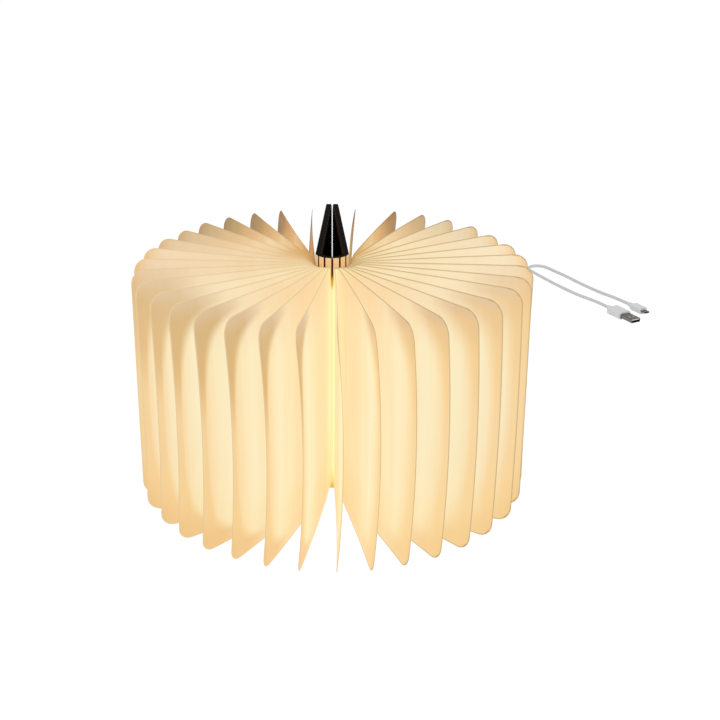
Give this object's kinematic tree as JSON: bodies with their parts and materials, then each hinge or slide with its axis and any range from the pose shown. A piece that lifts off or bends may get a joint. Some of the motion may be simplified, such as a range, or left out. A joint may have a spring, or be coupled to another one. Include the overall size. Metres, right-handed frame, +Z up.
{
  "type": "book lamp",
  "caption": "Folding lamp in the form of a hardback book, opened right round so that its translucent leaves stand out as a lit fan, with a short white USB lead.",
  "frame": {"origin": "on the surface, under the middle of the opened fan's outline", "axes": "+Z up along the spine, -Y the front, with the covers lying back to back along +Y behind the spine, +X to the right seen from the front"},
  "size_m": [0.5086, 0.7192, 0.202],
  "materials": {
    "leaf_sheet": "matte",
    "cover_cloth": "matte",
    "slat_wood": "satin",
    "diffuser_plastic": "matte",
    "strip_board": "matte",
    "led_chip": "gloss",
    "magnet_nickel": "satin",
    "battery_wrap": "satin",
    "circuit": "gloss",
    "socket_steel": "satin",
    "sensor_plastic": "matte",
    "white_plastic": "satin",
    "cord_jacket": "satin",
    "plug_steel": "satin"
  },
  "bodies": {
    "led_slat": {"led_slat": "slat_wood", "led_strip": "strip_board", "led_chips": "led_chip", "diffuser": "diffuser_plastic", "usb_cord": "cord_jacket", "usb_wide_grip": "white_plastic", "usb_wide_shell": "plug_steel", "usb_wide_tongue": "white_plastic", "usb_small_grip": "white_plastic", "usb_small_shell": "plug_steel"},
    "slat_left_outer": {"slat_left_outer": "slat_wood"},
    "slat_left_middle": {"slat_left_middle": "slat_wood"},
    "slat_left_inner": {"slat_left_inner": "slat_wood"},
    "slat_right_middle": {"slat_right_middle": "slat_wood"},
    "slat_right_outer": {"slat_right_outer": "slat_wood"},
    "left_cover": {"left_cover_board": "cover_cloth", "left_magnets": "magnet_nickel"},
    "right_cover": {"right_cover_board": "cover_cloth", "right_magnets": "magnet_nickel", "pocket_panel": "cover_cloth", "battery": "battery_wrap", "charge_board": "circuit", "charge_socket": "socket_steel", "hall_sensor": "sensor_plastic"},
    "leaf_01": {"leaf_01": "leaf_sheet"},
    "leaf_02": {"leaf_02": "leaf_sheet"},
    "leaf_03": {"leaf_03": "leaf_sheet"},
    "leaf_04": {"leaf_04": "leaf_sheet"},
    "leaf_05": {"leaf_05": "leaf_sheet"},
    "leaf_06": {"leaf_06": "leaf_sheet"},
    "leaf_07": {"leaf_07": "leaf_sheet"},
    "leaf_08": {"leaf_08": "leaf_sheet"},
    "leaf_09": {"leaf_09": "leaf_sheet"},
    "leaf_10": {"leaf_10": "leaf_sheet"},
    "leaf_11": {"leaf_11": "leaf_sheet"},
    "leaf_12": {"leaf_12": "leaf_sheet"},
    "leaf_13": {"leaf_13": "leaf_sheet"},
    "leaf_14": {"leaf_14": "leaf_sheet"},
    "leaf_15": {"leaf_15": "leaf_sheet"},
    "leaf_16": {"leaf_16": "leaf_sheet"},
    "leaf_17": {"leaf_17": "leaf_sheet"},
    "leaf_18": {"leaf_18": "leaf_sheet"},
    "leaf_19": {"leaf_19": "leaf_sheet"},
    "leaf_20": {"leaf_20": "leaf_sheet"},
    "leaf_21": {"leaf_21": "leaf_sheet"},
    "leaf_22": {"leaf_22": "leaf_sheet"},
    "leaf_23": {"leaf_23": "leaf_sheet"},
    "leaf_24": {"leaf_24": "leaf_sheet"},
    "leaf_25": {"leaf_25": "leaf_sheet"},
    "leaf_26": {"leaf_26": "leaf_sheet"},
    "leaf_27": {"leaf_27": "leaf_sheet"},
    "leaf_28": {"leaf_28": "leaf_sheet"},
    "leaf_29": {"leaf_29": "leaf_sheet"},
    "leaf_30": {"leaf_30": "leaf_sheet"},
    "leaf_31": {"leaf_31": "leaf_sheet"},
    "leaf_32": {"leaf_32": "leaf_sheet"},
    "leaf_33": {"leaf_33": "leaf_sheet"},
    "leaf_34": {"leaf_34": "leaf_sheet"}
  },
  "joints": [
    {"name": "slat_right_middle_fold", "type": "hinge", "parent": "led_slat", "child": "slat_right_middle", "pos_m": [0.00535, -0.00327, 0.101], "axis": [0, 0, -1], "range_deg": [0, 52.36]},
    {"name": "slat_right_outer_fold", "type": "hinge", "parent": "slat_right_middle", "child": "slat_right_outer", "pos_m": [0.00957, 0.00026, 0.101], "axis": [0, 0, -1], "range_deg": [0, 52.36]},
    {"name": "right_cover_fold", "type": "hinge", "parent": "slat_right_outer", "child": "right_cover", "pos_m": [0.01175, 0.00531, 0.101], "axis": [0, 0, -1], "range_deg": [0, 52.36]},
    {"name": "slat_left_inner_fold", "type": "hinge", "parent": "led_slat", "child": "slat_left_inner", "pos_m": [0, -0.00454, 0.101], "axis": [0, 0, 1], "range_deg": [0, 52.36]},
    {"name": "slat_left_middle_fold", "type": "hinge", "parent": "slat_left_inner", "child": "slat_left_middle", "pos_m": [-0.00535, -0.00327, 0.101], "axis": [0, 0, 1], "range_deg": [0, 52.36]},
    {"name": "slat_left_outer_fold", "type": "hinge", "parent": "slat_left_middle", "child": "slat_left_outer", "pos_m": [-0.00957, 0.00026, 0.101], "axis": [0, 0, 1], "range_deg": [0, 52.36]},
    {"name": "left_cover_fold", "type": "hinge", "parent": "slat_left_outer", "child": "left_cover", "pos_m": [-0.01175, 0.00531, 0.101], "axis": [0, 0, 1], "range_deg": [0, 52.36]},
    {"name": "leaf_01_turn", "type": "hinge", "parent": "slat_left_outer", "child": "leaf_01", "pos_m": [-0.01337, 0.00352, 0.101], "axis": [0, 0, 1], "range_deg": [0, 47.39]},
    {"name": "leaf_02_turn", "type": "hinge", "parent": "slat_left_outer", "child": "leaf_02", "pos_m": [-0.01358, 0.00248, 0.101], "axis": [0, 0, 1], "range_deg": [0, 35.85]},
    {"name": "leaf_03_turn", "type": "hinge", "parent": "slat_left_outer", "child": "leaf_03", "pos_m": [-0.0136, 0.00152, 0.101], "axis": [0, 0, 1], "range_deg": [0, 25.79]},
    {"name": "leaf_04_turn", "type": "hinge", "parent": "slat_left_outer", "child": "leaf_04", "pos_m": [-0.01343, 0.00064, 0.101], "axis": [0, 0, 1], "range_deg": [0, 15.66]},
    {"name": "leaf_05_turn", "type": "hinge", "parent": "slat_left_outer", "child": "leaf_05", "pos_m": [-0.01318, -0.00021, 0.101], "axis": [0, 0, 1], "range_deg": [0, 5.4]},
    {"name": "leaf_06_turn", "type": "hinge", "parent": "slat_left_middle", "child": "leaf_06", "pos_m": [-0.01118, -0.00321, 0.101], "axis": [0, 0, 1], "range_deg": [0, 47.34]},
    {"name": "leaf_07_turn", "type": "hinge", "parent": "slat_left_middle", "child": "leaf_07", "pos_m": [-0.01077, -0.00382, 0.101], "axis": [0, 0, 1], "range_deg": [0, 36.63]},
    {"name": "leaf_08_turn", "type": "hinge", "parent": "slat_left_middle", "child": "leaf_08", "pos_m": [-0.0103, -0.00434, 0.101], "axis": [0, 0, 1], "range_deg": [0, 25.79]},
    {"name": "leaf_09_turn", "type": "hinge", "parent": "slat_left_middle", "child": "leaf_09", "pos_m": [-0.00976, -0.00479, 0.101], "axis": [0, 0, 1], "range_deg": [0, 14.87]},
    {"name": "leaf_10_turn", "type": "hinge", "parent": "slat_left_middle", "child": "leaf_10", "pos_m": [-0.0091, -0.00509, 0.101], "axis": [0, 0, 1], "range_deg": [0, 3.98]},
    {"name": "leaf_11_turn", "type": "hinge", "parent": "slat_left_middle", "child": "leaf_11", "pos_m": [-0.00837, -0.00531, 0.101], "axis": [0, 0, -1], "range_deg": [0, 6.87]},
    {"name": "leaf_12_turn", "type": "hinge", "parent": "slat_left_inner", "child": "leaf_12", "pos_m": [-0.00521, -0.007, 0.101], "axis": [0, 0, 1], "range_deg": [0, 34.73]},
    {"name": "leaf_13_turn", "type": "hinge", "parent": "slat_left_inner", "child": "leaf_13", "pos_m": [-0.00446, -0.00687, 0.101], "axis": [0, 0, 1], "range_deg": [0, 24.01]},
    {"name": "leaf_14_turn", "type": "hinge", "parent": "slat_left_inner", "child": "leaf_14", "pos_m": [-0.00364, -0.00645, 0.101], "axis": [0, 0, 1], "range_deg": [0, 13.46]},
    {"name": "leaf_15_turn", "type": "hinge", "parent": "slat_left_inner", "child": "leaf_15", "pos_m": [-0.00277, -0.00583, 0.101], "axis": [0, 0, 1], "range_deg": [0, 3.08]},
    {"name": "leaf_16_turn", "type": "hinge", "parent": "slat_left_inner", "child": "leaf_16", "pos_m": [-0.00209, -0.00599, 0.101], "axis": [0, 0, -1], "range_deg": [0, 7.25]},
    {"name": "leaf_17_turn", "type": "hinge", "parent": "slat_left_inner", "child": "leaf_17", "pos_m": [-0.00141, -0.00616, 0.101], "axis": [0, 0, -1], "range_deg": [0, 17.51]},
    {"name": "leaf_18_turn", "type": "hinge", "parent": "led_slat", "child": "leaf_18", "pos_m": [0.00141, -0.00616, 0.101], "axis": [0, 0, 1], "range_deg": [0, 24.45]},
    {"name": "leaf_19_turn", "type": "hinge", "parent": "led_slat", "child": "leaf_19", "pos_m": [0.00209, -0.00599, 0.101], "axis": [0, 0, 1], "range_deg": [0, 14.16]},
    {"name": "leaf_20_turn", "type": "hinge", "parent": "led_slat", "child": "leaf_20", "pos_m": [0.00277, -0.00583, 0.101], "axis": [0, 0, 1], "range_deg": [0, 3.76]},
    {"name": "leaf_21_turn", "type": "hinge", "parent": "led_slat", "child": "leaf_21", "pos_m": [0.00362, -0.00635, 0.101], "axis": [0, 0, -1], "range_deg": [0, 6.74]},
    {"name": "leaf_22_turn", "type": "hinge", "parent": "led_slat", "child": "leaf_22", "pos_m": [0.00448, -0.00697, 0.101], "axis": [0, 0, -1], "range_deg": [0, 17.42]},
    {"name": "leaf_23_turn", "type": "hinge", "parent": "led_slat", "child": "leaf_23", "pos_m": [0.00525, -0.0072, 0.101], "axis": [0, 0, -1], "range_deg": [0, 28.32]},
    {"name": "leaf_24_turn", "type": "hinge", "parent": "slat_right_middle", "child": "leaf_24", "pos_m": [0.00843, -0.00539, 0.101], "axis": [0, 0, 1], "range_deg": [0, 13.07]},
    {"name": "leaf_25_turn", "type": "hinge", "parent": "slat_right_middle", "child": "leaf_25", "pos_m": [0.0091, -0.00509, 0.101], "axis": [0, 0, 1], "range_deg": [0, 1.94]},
    {"name": "leaf_26_turn", "type": "hinge", "parent": "slat_right_middle", "child": "leaf_26", "pos_m": [0.00976, -0.00479, 0.101], "axis": [0, 0, -1], "range_deg": [0, 9.25]},
    {"name": "leaf_27_turn", "type": "hinge", "parent": "slat_right_middle", "child": "leaf_27", "pos_m": [0.01036, -0.00442, 0.101], "axis": [0, 0, -1], "range_deg": [0, 20.47]},
    {"name": "leaf_28_turn", "type": "hinge", "parent": "slat_right_middle", "child": "leaf_28", "pos_m": [0.01083, -0.00389, 0.101], "axis": [0, 0, -1], "range_deg": [0, 31.68]},
    {"name": "leaf_29_turn", "type": "hinge", "parent": "slat_right_middle", "child": "leaf_29", "pos_m": [0.01124, -0.00329, 0.101], "axis": [0, 0, -1], "range_deg": [0, 42.8]},
    {"name": "leaf_30_turn", "type": "hinge", "parent": "slat_right_outer", "child": "leaf_30", "pos_m": [0.01318, -0.00021, 0.101], "axis": [0, 0, -1], "range_deg": [0, 1.32]},
    {"name": "leaf_31_turn", "type": "hinge", "parent": "slat_right_outer", "child": "leaf_31", "pos_m": [0.01343, 0.00064, 0.101], "axis": [0, 0, -1], "range_deg": [0, 12.06]},
    {"name": "leaf_32_turn", "type": "hinge", "parent": "slat_right_outer", "child": "leaf_32", "pos_m": [0.0136, 0.00152, 0.101], "axis": [0, 0, -1], "range_deg": [0, 22.7]},
    {"name": "leaf_33_turn", "type": "hinge", "parent": "slat_right_outer", "child": "leaf_33", "pos_m": [0.01358, 0.00248, 0.101], "axis": [0, 0, -1], "range_deg": [0, 33.31]},
    {"name": "leaf_34_turn", "type": "hinge", "parent": "slat_right_outer", "child": "leaf_34", "pos_m": [0.01346, 0.00348, 0.101], "axis": [0, 0, -1], "range_deg": [0, 47.91]}
  ],
  "couplings": [
    {"joint": "slat_right_middle_fold", "follows": "right_cover_fold", "ratio": 1},
    {"joint": "slat_right_outer_fold", "follows": "right_cover_fold", "ratio": 1},
    {"joint": "slat_left_inner_fold", "follows": "right_cover_fold", "ratio": 1},
    {"joint": "slat_left_middle_fold", "follows": "right_cover_fold", "ratio": 1},
    {"joint": "slat_left_outer_fold", "follows": "right_cover_fold", "ratio": 1},
    {"joint": "left_cover_fold", "follows": "right_cover_fold", "ratio": 1},
    {"joint": "leaf_01_turn", "follows": "right_cover_fold", "ratio": 0.90512},
    {"joint": "leaf_02_turn", "follows": "right_cover_fold", "ratio": 0.68459},
    {"joint": "leaf_03_turn", "follows": "right_cover_fold", "ratio": 0.49248},
    {"joint": "leaf_04_turn", "follows": "right_cover_fold", "ratio": 0.29909},
    {"joint": "leaf_05_turn", "follows": "right_cover_fold", "ratio": 0.10304},
    {"joint": "leaf_06_turn", "follows": "right_cover_fold", "ratio": 0.9041},
    {"joint": "leaf_07_turn", "follows": "right_cover_fold", "ratio": 0.69946},
    {"joint": "leaf_08_turn", "follows": "right_cover_fold", "ratio": 0.49245},
    {"joint": "leaf_09_turn", "follows": "right_cover_fold", "ratio": 0.28405},
    {"joint": "leaf_10_turn", "follows": "right_cover_fold", "ratio": 0.075914},
    {"joint": "leaf_11_turn", "follows": "right_cover_fold", "ratio": 0.13118},
    {"joint": "leaf_12_turn", "follows": "right_cover_fold", "ratio": 0.66328},
    {"joint": "leaf_13_turn", "follows": "right_cover_fold", "ratio": 0.45846},
    {"joint": "leaf_14_turn", "follows": "right_cover_fold", "ratio": 0.25702},
    {"joint": "leaf_15_turn", "follows": "right_cover_fold", "ratio": 0.058762},
    {"joint": "leaf_16_turn", "follows": "right_cover_fold", "ratio": 0.1385},
    {"joint": "leaf_17_turn", "follows": "right_cover_fold", "ratio": 0.33434},
    {"joint": "leaf_18_turn", "follows": "right_cover_fold", "ratio": 0.46696},
    {"joint": "leaf_19_turn", "follows": "right_cover_fold", "ratio": 0.27042},
    {"joint": "leaf_20_turn", "follows": "right_cover_fold", "ratio": 0.07175},
    {"joint": "leaf_21_turn", "follows": "right_cover_fold", "ratio": 0.12878},
    {"joint": "leaf_22_turn", "follows": "right_cover_fold", "ratio": 0.33269},
    {"joint": "leaf_23_turn", "follows": "right_cover_fold", "ratio": 0.54086},
    {"joint": "leaf_24_turn", "follows": "right_cover_fold", "ratio": 0.24953},
    {"joint": "leaf_25_turn", "follows": "right_cover_fold", "ratio": 0.037062},
    {"joint": "leaf_26_turn", "follows": "right_cover_fold", "ratio": 0.17669},
    {"joint": "leaf_27_turn", "follows": "right_cover_fold", "ratio": 0.39094},
    {"joint": "leaf_28_turn", "follows": "right_cover_fold", "ratio": 0.60496},
    {"joint": "leaf_29_turn", "follows": "right_cover_fold", "ratio": 0.81732},
    {"joint": "leaf_30_turn", "follows": "right_cover_fold", "ratio": 0.025137},
    {"joint": "leaf_31_turn", "follows": "right_cover_fold", "ratio": 0.23031},
    {"joint": "leaf_32_turn", "follows": "right_cover_fold", "ratio": 0.43352},
    {"joint": "leaf_33_turn", "follows": "right_cover_fold", "ratio": 0.63615},
    {"joint": "leaf_34_turn", "follows": "right_cover_fold", "ratio": 0.91498}
  ]
}
